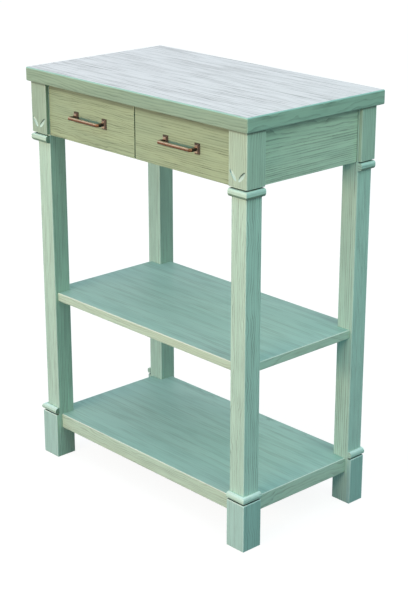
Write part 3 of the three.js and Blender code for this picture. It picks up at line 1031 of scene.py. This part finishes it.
@dataclass
class Leg:
    """A square post with a head block, collar, foot bead and foot block on its outer faces."""

    row: Row
    side: Side
    post_radius: float = 0.0012
    block_radius: float = 0.0020
    arris_segments: int = 3
    long_edge: float = 0.2
    glue_gap: float = 0.00025
    bead_full_round: float = 0.008
    bead_slight_round: float = 0.0055
    full_segments: int = 10
    slight_segments: int = 8
    bead_rubbed: float = 0.8
    bead_fall: float = 1.5
    side_rubbed: float = 0.4
    upper_slope: float = 0.3
    lower_slope: float = 0.12
    petal_length: float = 0.029
    petal_width: float = 0.0090
    petal_depth: float = 0.0034
    petal_tilt: float = math.radians(40.0)
    petal_lean: float = math.radians(5.0)
    petal_spread: float = 0.0246
    petal_shine: float = 0.5
    petal_segments: int = 40
    petal_facet: float = 4e-6
    chevron_height: float = 0.025

    def build(self) -> Pieces:
        """Makes the post and what is planted on it."""
        post = Blank.of_node(self.name("post"))
        post.ease(self.post_radius, self.arris_segments, long_arris(self.long_edge))
        yield self.dress("post", post)
        for block in ("head_block", "foot_block"):
            yield self.dress(block, self.block(block))
        full, slight = self.bead_full_round, self.bead_slight_round
        yield self.dress("collar", self.bead("collar", full, slight))
        yield self.dress("foot_bead", self.bead("foot_bead", slight, full))

    def name(self, piece: str) -> str:
        """The node of one of this leg's pieces."""
        return f"{piece}_{self.row.word}_{self.side.word}"

    def plan(self, piece: str) -> Plan:
        """The plan of a planted piece: an L round a front post, a strip beside a back one.

        Args:
            piece: The piece.

        Returns:
            The corners of its plan.
        """
        (low, high), (post_low, post_high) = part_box(self.name(piece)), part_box(self.name("post"))
        sign = self.side.value
        inner, outer = (low.x, high.x) if sign > 0 else (high.x, low.x)
        seat = (post_high.x if sign > 0 else post_low.x) + sign * self.glue_gap
        front = [(inner, low.y), (outer, low.y), (outer, high.y)]
        if self.row is Row.BACK:
            return [*front, (inner, high.y)]
        front_seat = post_low.y - self.glue_gap
        return [*front, (seat, high.y), (seat, front_seat), (inner, front_seat)]

    def outer_arris(self, piece: str, height: float | None = None) -> EdgeTest:
        """A test for the edges of a piece's outer faces.

        Args:
            piece: The piece.
            height: The height that level edges lie at, or None for every outer arris.

        Returns:
            The test.
        """
        low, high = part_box(self.name(piece))
        faces = [(X, high.x if self.side is Side.RIGHT else low.x)]
        if self.row is Row.FRONT:
            faces.append((Y, low.y))
        return lambda edge: (
            any(lies_at(edge, axis, place) for axis, place in faces)
            and (height is None or lies_at(edge, Z, height))
            and square_arris(edge)
        )

    def block(self, piece: str) -> Blank:
        """A head or foot block, with the chevron cut into a front head block.

        Args:
            piece: The piece.

        Returns:
            The block's shape.
        """
        low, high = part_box(self.name(piece))
        blank = Blank.prism(self.plan(piece), low.z, high.z)
        blank.ease(self.block_radius, self.arris_segments, self.outer_arris(piece))
        if piece == "foot_block":
            # Painted highlight on the foot block's arrises: full where they look up, weaker
            # elsewhere.
            blank.mark(lambda face, mark: mark * (
                1.0 if face.normal.z > self.upper_slope else self.side_rubbed
            ))
        elif self.row is Row.FRONT:
            for petal in self.petals(low, high):
                blank.carve(petal)
            # The facets of the cuts get a painted highlight mark.
            blank.mark(lambda face, mark: self.petal_shine if self.in_petal(face) else mark)
        return blank

    @cached_property
    def head_front(self) -> float:
        """Where the head block's front face lies."""
        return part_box(self.name("head_block"))[0].y

    def in_petal(self, face: Face) -> bool:
        """Whether a face of a head block is a small facet of a gouge cut."""
        sunk = face.calc_center_median().y - self.head_front
        return (
            self.row is Row.FRONT
            and MERGE_DISTANCE < sunk < 2.0 * self.petal_depth
            and face.calc_area() < self.petal_facet
        )

    def petals(self, low: Vector, high: Vector) -> Iterator[Blank]:
        """The two gouge cuts of the chevron, leaning together into a V.

        Args:
            low: The block's lowest corner.
            high: The block's highest corner.

        Yields:
            A cutter for each cut.
        """
        half = (self.petal_width / 2, self.petal_depth, self.petal_length / 2, 1.0)
        egg = Matrix.Rotation(-self.petal_lean, 4, "X") @ Matrix.Diagonal(half)
        count = self.petal_segments
        for sign in (-1, 1):
            middle = (low.x + high.x) / 2 + sign * self.petal_spread / 2
            place = Matrix.Translation((middle, low.y, low.z + self.chevron_height))
            turn = Matrix.Rotation(sign * self.petal_tilt, 4, "Y")
            cutter = Blank()
            bmesh.ops.create_uvsphere(
                cutter.mesh, u_segments=count, v_segments=count, radius=1.0,
                matrix=place @ turn @ egg,
            )
            yield cutter

    def bead(self, piece: str, lower_round: float, upper_round: float) -> Blank:
        """A collar or foot bead, mitred round the corner of a front leg.

        Args:
            piece: The piece.
            lower_round: Radius of its lower arris.
            upper_round: Radius of its upper arris.

        Returns:
            The moulded shape.
        """
        low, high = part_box(self.name(piece))
        blank = Blank.prism(self.plan(piece), low.z, high.z)
        # The upper rounding gets a painted highlight mark, the lower none.
        rounds = ((low.z, lower_round, 0.0), (high.z, upper_round, self.bead_rubbed))
        for height, radius, wear_and_highlight in rounds:
            full = radius == self.bead_full_round
            segments = self.full_segments if full else self.slight_segments
            blank.ease(radius, segments, self.outer_arris(piece, height), wear_and_highlight)
        # On a foot bead the painted highlight fades as the rounding turns down.
        if piece == "foot_bead":
            blank.mark(lambda face, mark: mark * max(face.normal.z, 0.0) ** self.bead_fall)
        return blank

    def inward(self, face: Face) -> bool:
        """Whether a face looks towards the other side of the station."""
        return face.normal.x * self.side.value < -FLAT

    def faced(self, face: Face) -> int:
        """A post's inner face has the second skin, which is painted shade."""
        return int(self.inward(face))

    def carved(self, face: Face) -> int:
        """A head block's cuts have a painted highlight and painted shade as the next two skins, its
        inner face painted shade as the last.
        """
        cut = self.in_petal(face) * (2 if face.normal.z < -self.upper_slope else 1)
        return 3 if self.inward(face) else cut

    def footed(self, face: Face) -> int:
        """A foot block's top, inner face and outer side have skins of painted shade."""
        other = 2 if self.inward(face) else int(face.normal.z > FLAT)
        return 3 if face.normal.x * self.side.value > FLAT else other

    def mitred(self, face: Face) -> int:
        """A bead's front and side strips have the first two skins, and its inner end the last,
        which is painted shade.
        """
        return 3 if self.inward(face) else edge_skin(face) - 1

    def collared(self, face: Face) -> int:
        """A collar is mitred like a bead, with painted shade on its level top and its underside."""
        lower = 3 if face.normal.z < -self.lower_slope else self.mitred(face)
        return 2 if face.normal.z > FLAT else lower

    def dress(self, piece: str, blank: Blank) -> Piece:
        """Stains a piece of the leg.

        Args:
            piece: The piece.
            blank: Its shape.

        Returns:
            The finished piece.
        """
        head = HEAD_STAIN_AND_SHADE if self.side is Side.RIGHT else LEFT_HEAD_STAIN_AND_SHADE
        foot = (FOOT_STAIN, DEEP_SHADE, INNER_SHADE, FOOT_SIDE_SHADE)
        strip = POST_STAIN if piece == "collar" else BEAD_HIGHLIGHT_STAIN
        strips = [Skin(strip, Grain.FRONT), Skin(strip, Grain.SIDE)]
        pick, shown, upright = {
            "post": (self.faced, [], (POST_STAIN, INNER_SHADE)),
            "head_block": (self.carved, [], (head, CUT_LACQUER_AND_HIGHLIGHT, DEEP_SHADE, RECESS_SHADE)),
            "foot_block": (self.footed, [], foot),
            "collar": (self.collared, strips, (DEEP_SHADE, RECESS_SHADE)),
            "foot_bead": (self.mitred, strips, (DEEP_SHADE, RECESS_SHADE)),
        }[piece]
        skins = shown + [Skin(finish, Grain.UPRIGHT) for finish in upright]
        return blank.settle(self.name(piece), "root", Slot.GREEN, skins, pick)


@dataclass
class Frame:
    """The aprons and front rails between the legs."""

    arris_radius: float = 0.0008
    long_edge: float = 0.03
    skins: dict[str, Skin] = field(default_factory=lambda: {
        "apron_right": Skin(APRON_STAIN, Grain.SIDE),
        "apron_left": Skin(APRON_STAIN, Grain.SIDE),
        "apron_back": Skin(RAIL_STAIN, Grain.FRONT),
        "front_rail_upper": Skin(RAIL_STAIN, Grain.LEVEL),
        "front_rail_lower": Skin(RAIL_STAIN, Grain.LEVEL),
    })

    def build(self) -> Pieces:
        """Makes each board."""
        for node, skin in self.skins.items():
            blank = Blank.board(node, self.arris_radius, self.long_edge)
            yield blank.settle(node, "root", Slot.GREEN, (skin,))


@dataclass
class Carcass:
    """The unstained pieces inside: top buttons, the drawer partition and the runners."""

    arris_radius: float = 0.0006
    long_edge: float = 0.012

    def cuts(self) -> Iterator[tuple[str, Grain]]:
        """Lists the pieces.

        Yields:
            Each piece's node and how it was cut.
        """
        yield "drawer_partition", Grain.SIDE
        for side in Side:
            for row in Row:
                yield f"top_button_{row.word}_{side.word}", Grain.LEVEL
            for place in PLACES:
                yield f"runner_{place}_{side.word}", Grain.DEPTH

    def build(self) -> Pieces:
        """Makes each piece."""
        for node, grain in self.cuts():
            blank = Blank.board(node, self.arris_radius, self.long_edge)
            yield blank.settle(node, "root", Slot.BARE, (Skin(BARE_WOOD, grain),))


@dataclass
class Drawer:
    """A drawer: its stained front, and a bare box with a plywood bottom."""

    side: Side
    arris_radius: float = 0.0008
    long_edge: float = 0.03
    cuts: dict[str, Grain] = field(default_factory=lambda: {
        "side_outer": Grain.SIDE,
        "side_inner": Grain.SIDE,
        "back": Grain.FRONT,
        "stop": Grain.UPRIGHT,
    })

    def build(self) -> Pieces:
        """Makes the drawer's boards."""
        body, nodes = f"drawer_{self.side.word}", "drawer_{}_" + self.side.word
        node = nodes.format("front")
        faces = (Skin(DRAWER_STAIN, Grain.FRONT), Skin(DRAWER_EDGE_STAIN, Grain.FRONT))
        yield Blank.of_node(node).settle(node, body, Slot.DRAWER, faces, self.behind)
        for board, grain in self.cuts.items():
            node = nodes.format(board)
            blank = Blank.board(node, self.arris_radius, self.long_edge)
            yield blank.settle(node, body, Slot.BARE, (Skin(BARE_WOOD, grain),))
        node = nodes.format("bottom")
        yield Blank.of_node(node).settle(node, body, Slot.PLY, (Skin(PLYWOOD, Grain.LEVEL),))

    @staticmethod
    def behind(face: Face) -> int:
        """A drawer front's edges and back have the second skin."""
        return int(face.normal.y > -FLAT)


@dataclass
class Pull:
    """A copper bar pull: the handle, its two plates and their screws."""

    side: Side
    arris_radius: float = 0.0005
    bar_depth: float = 0.0066
    under_slope: float = 0.25
    upper_slope: float = 0.35
    # The painted highlight mark on faces that look up.
    polish: float = 0.85
    shallow: float = math.radians(25.0)

    def build(self) -> Pieces:
        """Makes the pull's pieces."""
        yield self.piece("pull_handle", Slot.COPPER, (AGED_COPPER, PAINTED_SHADE_COPPER), self.behind_bar)
        plate = (PLATE_COPPER, PLATE_BEVEL_SHADE)
        for place in PLACES:
            yield self.piece(f"pull_plate_{place}", Slot.COPPER, plate, self.bevelled)
            yield self.piece(f"pull_screw_{place}", Slot.ZINC, (ZINC_STEEL,), one_skin)

    def piece(
        self, name: str, slot: Slot, finishes: Sequence[MetalFinish], pick: SkinPick
    ) -> Piece:
        """Makes one piece, with its arrises rounded and marked for wear and painted highlight if it
        is copper.

        Args:
            name: Which piece.
            slot: The record's slot for its finish.
            finishes: Its metal, and the darker one for its painted shade if it has any.
            pick: Which of them a face has.

        Returns:
            The finished piece.
        """
        node = f"{name}_{self.side.word}"
        blank = Blank.of_node(node)
        if slot is Slot.COPPER:
            blank.ease(self.arris_radius, where=self.outer_corner).mark(self.rubbed)
        skins = [Skin(finish, Grain.FRONT) for finish in finishes]
        return blank.settle(node, f"drawer_{self.side.word}", slot, skins, pick)

    @cached_property
    def neck(self) -> float:
        """Where the necks start behind the bar."""
        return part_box(f"pull_handle_{self.side.word}")[0].y + self.bar_depth

    def behind_bar(self, face: Face) -> int:
        """The necks and what looks down get painted shade."""
        return int(face.calc_center_median().y > self.neck or face.normal.z < -self.under_slope)

    def bevelled(self, face: Face) -> int:
        """A plate's bevels get painted shade."""
        return int(face.normal.y > -math.cos(self.shallow))

    def rubbed(self, face: Face, mark: float) -> float:
        """Marks what looks up for a painted highlight, and takes the mark off what looks down."""
        kept = mark * (face.normal.z > -self.under_slope)
        return self.polish if face.normal.z > self.upper_slope else kept

    def outer_corner(self, edge: Edge) -> bool:
        """Whether an edge is an outer corner, a bevel's included."""
        return len(edge.link_faces) == 2 and edge.calc_face_angle_signed(0.0) > self.shallow


@dataclass(frozen=True)
class Lamp:
    """A soft lamp: where it stands and aims, and how wide, high, strong and warm it is."""

    name: str
    place: Place
    aim: Place
    width: float
    height: float
    spread: float
    power: float
    colour: Colour

    def build(self) -> None:
        """Sets the lamp up."""
        data = bpy.data.lights.new(self.name, "AREA")
        data.shape = "RECTANGLE"
        data.size, data.size_y = self.width, self.height
        data.spread = self.spread
        data.energy = self.power
        data.color = self.colour
        lamp = placed(self.name, data)
        lamp.location = self.place
        lamp.rotation_mode = "QUATERNION"
        lamp.rotation_quaternion = (Vector(self.place) - Vector(self.aim)).to_track_quat("Z", "Y")


KEY = Lamp(
    "key", place=(0.1, -3.1, 1.2), aim=(0.0, 0.0, 1.1), width=2.2, height=0.5,
    spread=math.radians(120.0), power=32.5, colour=(1.0, 0.69, 0.47),
)
FILL = Lamp(
    "fill", place=(2.9, -0.3, 2.8), aim=(0.2, 0.0, 1.1), width=1.6, height=1.6,
    spread=math.radians(70.0), power=4.6, colour=(0.55, 0.95, 0.70),
)


@dataclass
class Studio:
    """A pale floor, a white surround, a warm lamp in front, a cool one at the right, a camera."""

    camera_place: Place = (2.3761, -2.1740, 1.5793)
    camera_pitch: float = math.radians(-19.81)
    camera_yaw: float = math.radians(47.30)
    camera_lens: float = 88.94
    sensor: float = 36.0
    floor_size: float = 14.0
    floor_tint: Colour = (0.10, 0.18, 0.19)
    veil: Colour = (0.20, 0.20, 0.20)
    glow: float = 0.9
    zenith: Colour = (0.85, 1.00, 1.07)
    horizon: Colour = (0.06, 0.08, 0.085)
    front_sky: Colour = (0.14, 0.36, 0.44)
    white: Colour = (1.0, 1.0, 1.0)
    lamps: tuple[Lamp, ...] = (KEY, FILL)

    def build(self) -> None:
        """Makes the whole set."""
        bpy.context.scene.view_settings.view_transform = "Standard"
        self.surround()
        self.floor()
        for lamp in self.lamps:
            lamp.build()
        self.camera()

    @staticmethod
    def seen(graph: Graph, plain: Signal, shown: Signal) -> Signal:
        """Shows another shader to rays that come straight from the camera, a mirror or glass.

        Args:
            graph: The graph that gets the nodes.
            plain: The shader that lights the scene.
            shown: The shader that is seen.

        Returns:
            Both together.
        """
        rays = graph.node("ShaderNodeLightPath")
        straight = rays.at("Is Camera Ray").maths("MAXIMUM", rays.at("Is Glossy Ray"))
        straight = straight.maths("MAXIMUM", rays.at("Is Transmission Ray"))
        return graph.node("ShaderNodeMixShader", None, {0: straight, 1: plain, 2: shown})

    def surround(self) -> None:
        """A soft sky that is white where it is seen."""
        world = bpy.data.worlds.new("surround")
        world.use_nodes = True
        bpy.context.scene.world = world
        graph = Graph(world.node_tree)
        direction = graph.axes(graph.node("ShaderNodeTexCoord"))
        ahead = (0.0 - direction.at("Y")).clamped()
        low_sky = graph.mix(ahead, self.horizon, self.front_sky)
        sky = graph.mix(direction.at("Z").clamped(), low_sky, self.zenith)
        light = graph.node("ShaderNodeBackground", None, {"Color": sky, "Strength": 1.0})
        backdrop = graph.node("ShaderNodeBackground", None, {"Color": self.white, "Strength": 1.0})
        graph.add("ShaderNodeOutputWorld", None, {"Surface": self.seen(graph, light, backdrop)})

    def floor(self) -> None:
        """A pale floor that keeps a faint shadow."""
        sheet = Blank()
        bmesh.ops.create_grid(sheet.mesh, x_segments=1, y_segments=1, size=self.floor_size / 2)
        floor = sheet.placed("floor")
        graph, material = Graph.of_material("pale_floor")
        matt = graph.node("ShaderNodeBsdfDiffuse", None, {"Color": self.floor_tint})
        veil = graph.node("ShaderNodeBsdfDiffuse", None, {"Color": self.veil})
        glow = graph.node("ShaderNodeEmission", None, {"Color": self.white, "Strength": self.glow})
        bright = graph.node("ShaderNodeAddShader", None, {0: veil, 1: glow})
        graph.add("ShaderNodeOutputMaterial", None, {"Surface": self.seen(graph, matt, bright)})
        floor.data.materials.append(material)
        floor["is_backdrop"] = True

    def camera(self) -> None:
        """The camera at the photograph's place and angle."""
        data = bpy.data.cameras.new("camera")
        data.lens = self.camera_lens
        data.sensor_width = self.sensor
        data.sensor_fit = "AUTO"
        camera = placed("camera", data)
        camera.location = self.camera_place
        camera.rotation_euler = (math.pi / 2 + self.camera_pitch, 0.0, self.camera_yaw)
        bpy.context.scene.camera = camera


def write_sizes() -> None:
    """Works out the frame's box and the dressed part's box, and keeps neither."""
    boxes = {"cad": CAD_BOX, "visual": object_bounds()}
    {name: [list(corner) for corner in box] for name, box in boxes.items()}


def main() -> None:
    """Builds the station's sub-assemblies in order, and the set round them."""
    logging.basicConfig(level=logging.INFO, format="%(name)s: %(message)s")
    legs = [Leg(row, side) for row in Row for side in Side]
    assemblies = [TopBoard(), Shelves(), *legs, Frame(), Carcass()]
    for side in Side:
        assemblies += [Drawer(side), Pull(side)]
    for assembly in assemblies:
        kind = type(assembly).__name__
        for piece in assembly.build():
            LOG.info("%s: %s, %d faces", kind, piece.name, len(piece.data.polygons))
    Studio().build()
    write_sizes()


if __name__ == "__main__":
    main()
